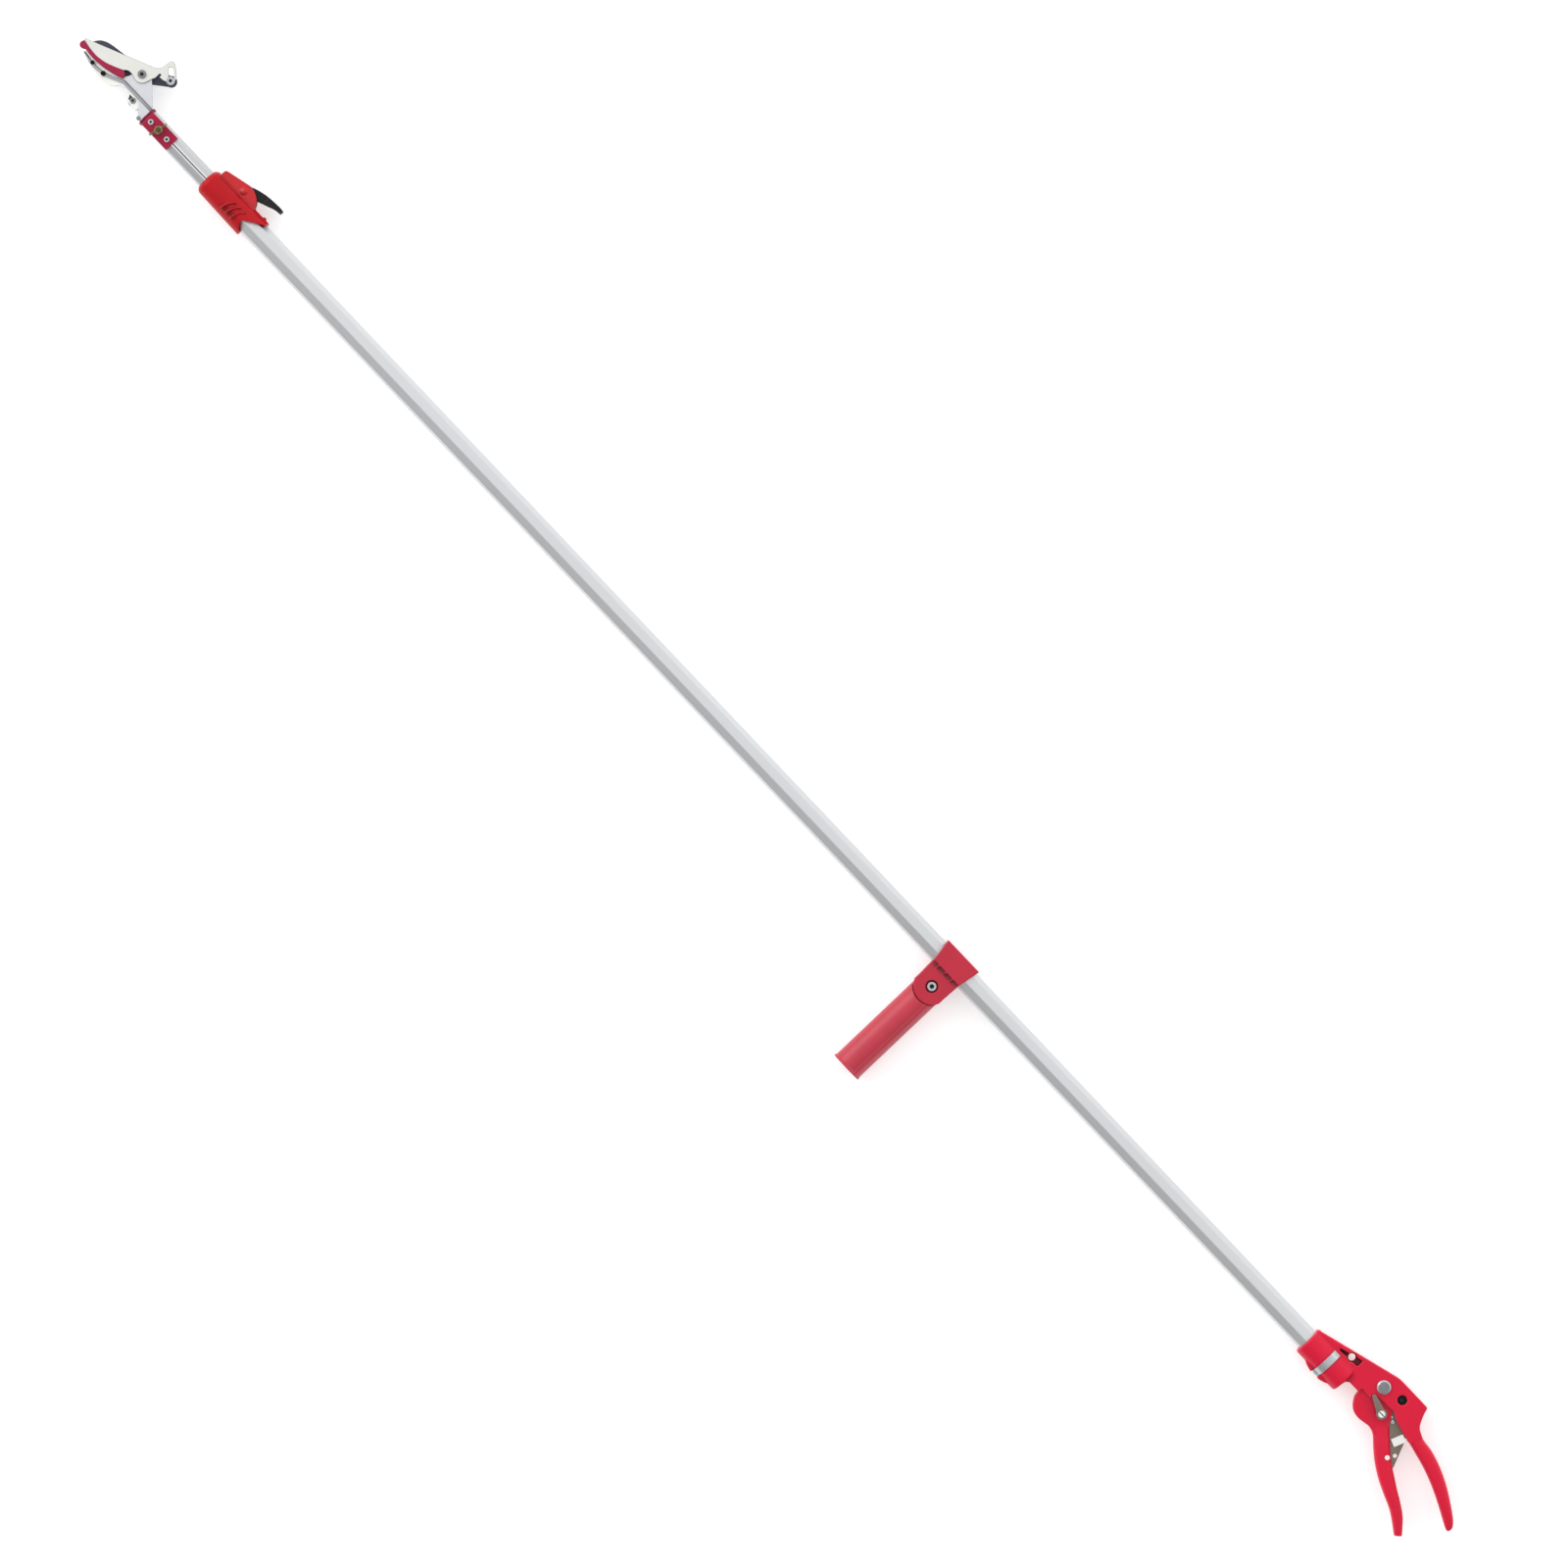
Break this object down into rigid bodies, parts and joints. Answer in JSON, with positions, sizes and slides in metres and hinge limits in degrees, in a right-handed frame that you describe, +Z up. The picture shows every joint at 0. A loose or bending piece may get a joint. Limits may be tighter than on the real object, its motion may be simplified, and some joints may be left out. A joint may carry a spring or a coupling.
{
  "type": "tree pruner pole",
  "caption": "Telescopic tree pruner pole: trigger grip, folding side handle, cam lock and a bypass head that cuts and holds the stem by a rod inside the octagonal tubes.",
  "frame": {"origin": "middle of the tool's footprint, on the floor it lies on", "axes": "+X along the pole from the trigger grip to the cutting head, +Y towards the side handle, +Z up from the floor"},
  "size_m": [2.0627, 0.2087, 0.0413],
  "materials": {
    "anodised_silver": "satin anodised",
    "red_cast": "semi-gloss powder coat",
    "red_nylon": "moulded, semi-gloss",
    "red_grip": "moulded, satin",
    "red_coat": "satin coat",
    "red_rubber": "soft, matt",
    "bracket_steel": "plated, satin",
    "bright_steel": "fine ground",
    "dark_blade": "dark non-stick coat",
    "zinc_steel": "zinc plated",
    "black_plastic": "moulded, matt",
    "black_steel": "black oxide",
    "brass": "dull",
    "spring_steel": "drawn wire"
  },
  "bodies": {
    "pole": {"outer_tube": "anodised_silver", "rod_guide": "black_plastic", "handle_body": "red_cast", "socket_strap": "zinc_steel", "pivot_bolt": "zinc_steel", "pivot_nut": "zinc_steel", "cheek_screw": "black_steel", "return_spring": "spring_steel", "lock_collar": "red_nylon", "lock_pin": "zinc_steel", "lock_pad": "black_plastic"},
    "trigger": {"trigger_lever": "red_cast", "trigger_plate": "bracket_steel", "stop_blocks": "bright_steel", "plate_rivet": "zinc_steel", "rod_pin": "zinc_steel", "latch_bush": "black_plastic", "latch_screw": "zinc_steel"},
    "latch": {"latch_lever": "bracket_steel"},
    "lower_rod": {"pull_tube": "bracket_steel", "pull_eye": "zinc_steel", "rod_clutch": "brass"},
    "lock": {"lock_lever": "black_plastic"},
    "mast": {"inner_tube": "anodised_silver", "mast_bush": "black_plastic", "head_saddle": "red_coat", "saddle_screws": "zinc_steel", "saw_stud": "zinc_steel", "head_bracket": "bracket_steel", "counter_blade": "bright_steel", "rail_studs": "black_steel", "head_bolt": "zinc_steel", "head_nut": "zinc_steel"},
    "wing": {"wing_nut": "brass"},
    "upper_rod": {"pull_rod": "bracket_steel", "rod_end": "bracket_steel", "drive_pin": "zinc_steel"},
    "blade": {"cutting_blade": "dark_blade", "stop_screw": "zinc_steel", "stop_spacer": "zinc_steel", "holder_spring": "spring_steel"},
    "holder": {"holder_plate": "bright_steel", "holder_pad": "red_rubber"},
    "slider": {"side_collar": "red_grip", "fold_bolt": "zinc_steel", "fold_nut": "zinc_steel"},
    "grip": {"side_grip": "red_grip", "grip_cap": "red_grip"}
  },
  "joints": [
    {"name": "telescope", "type": "slide", "parent": "pole", "child": "mast", "axis": [1, 0, 0], "range_m": [0, 0.95]},
    {"name": "lock_turn", "type": "hinge", "parent": "pole", "child": "lock", "pos_m": [0.80625, -0.06553, 0.0177], "axis": [0, 0, 1], "range_deg": [0, 100]},
    {"name": "trigger_squeeze", "type": "hinge", "parent": "pole", "child": "trigger", "pos_m": [-0.87775, -0.06905, 0.0177], "axis": [0, 0, 1], "range_deg": [-26, 0]},
    {"name": "latch_turn", "type": "hinge", "parent": "trigger", "child": "latch", "pos_m": [-0.89575, -0.04855, 0.0287], "axis": [0, 0, 1], "range_deg": [0, 65]},
    {"name": "lower_rod_pull", "type": "slide", "parent": "pole", "child": "lower_rod", "axis": [1, 0, 0], "range_m": [0, 0.0103]},
    {"name": "upper_rod_pull", "type": "slide", "parent": "mast", "child": "upper_rod", "axis": [1, 0, 0], "range_m": [0, 0.0103]},
    {"name": "blade_turn", "type": "hinge", "parent": "mast", "child": "blade", "pos_m": [0.96425, -0.07205, 0.0177], "axis": [0, 0, 1], "range_deg": [-21.2, 0]},
    {"name": "holder_yield", "type": "hinge", "parent": "blade", "child": "holder", "pos_m": [0.96425, -0.07205, 0.0177], "axis": [0, 0, 1], "range_deg": [-22, 0], "stiffness_Nm_per_rad": 0.8, "springref_deg": 20.05, "deforming": ["holder_spring"]},
    {"name": "wing_turn", "type": "hinge", "parent": "mast", "child": "wing", "pos_m": [0.91075, -0.04505, 0.0317], "axis": [0, 0, 1], "continuous": true},
    {"name": "side_slide", "type": "slide", "parent": "pole", "child": "slider", "axis": [1, 0, 0], "range_m": [-0.35, 0.85]},
    {"name": "side_fold", "type": "hinge", "parent": "slider", "child": "grip", "pos_m": [-0.26425, -0.01605, 0.0177], "axis": [0, 0, 1], "range_deg": [-60, 60]}
  ],
  "couplings": [
    {"joint": "lower_rod_pull", "follows": "trigger_squeeze", "m_per_rad": -0.022385},
    {"joint": "upper_rod_pull", "follows": "trigger_squeeze", "m_per_rad": -0.022385},
    {"joint": "blade_turn", "follows": "trigger_squeeze", "ratio": 0.81053}
  ]
}
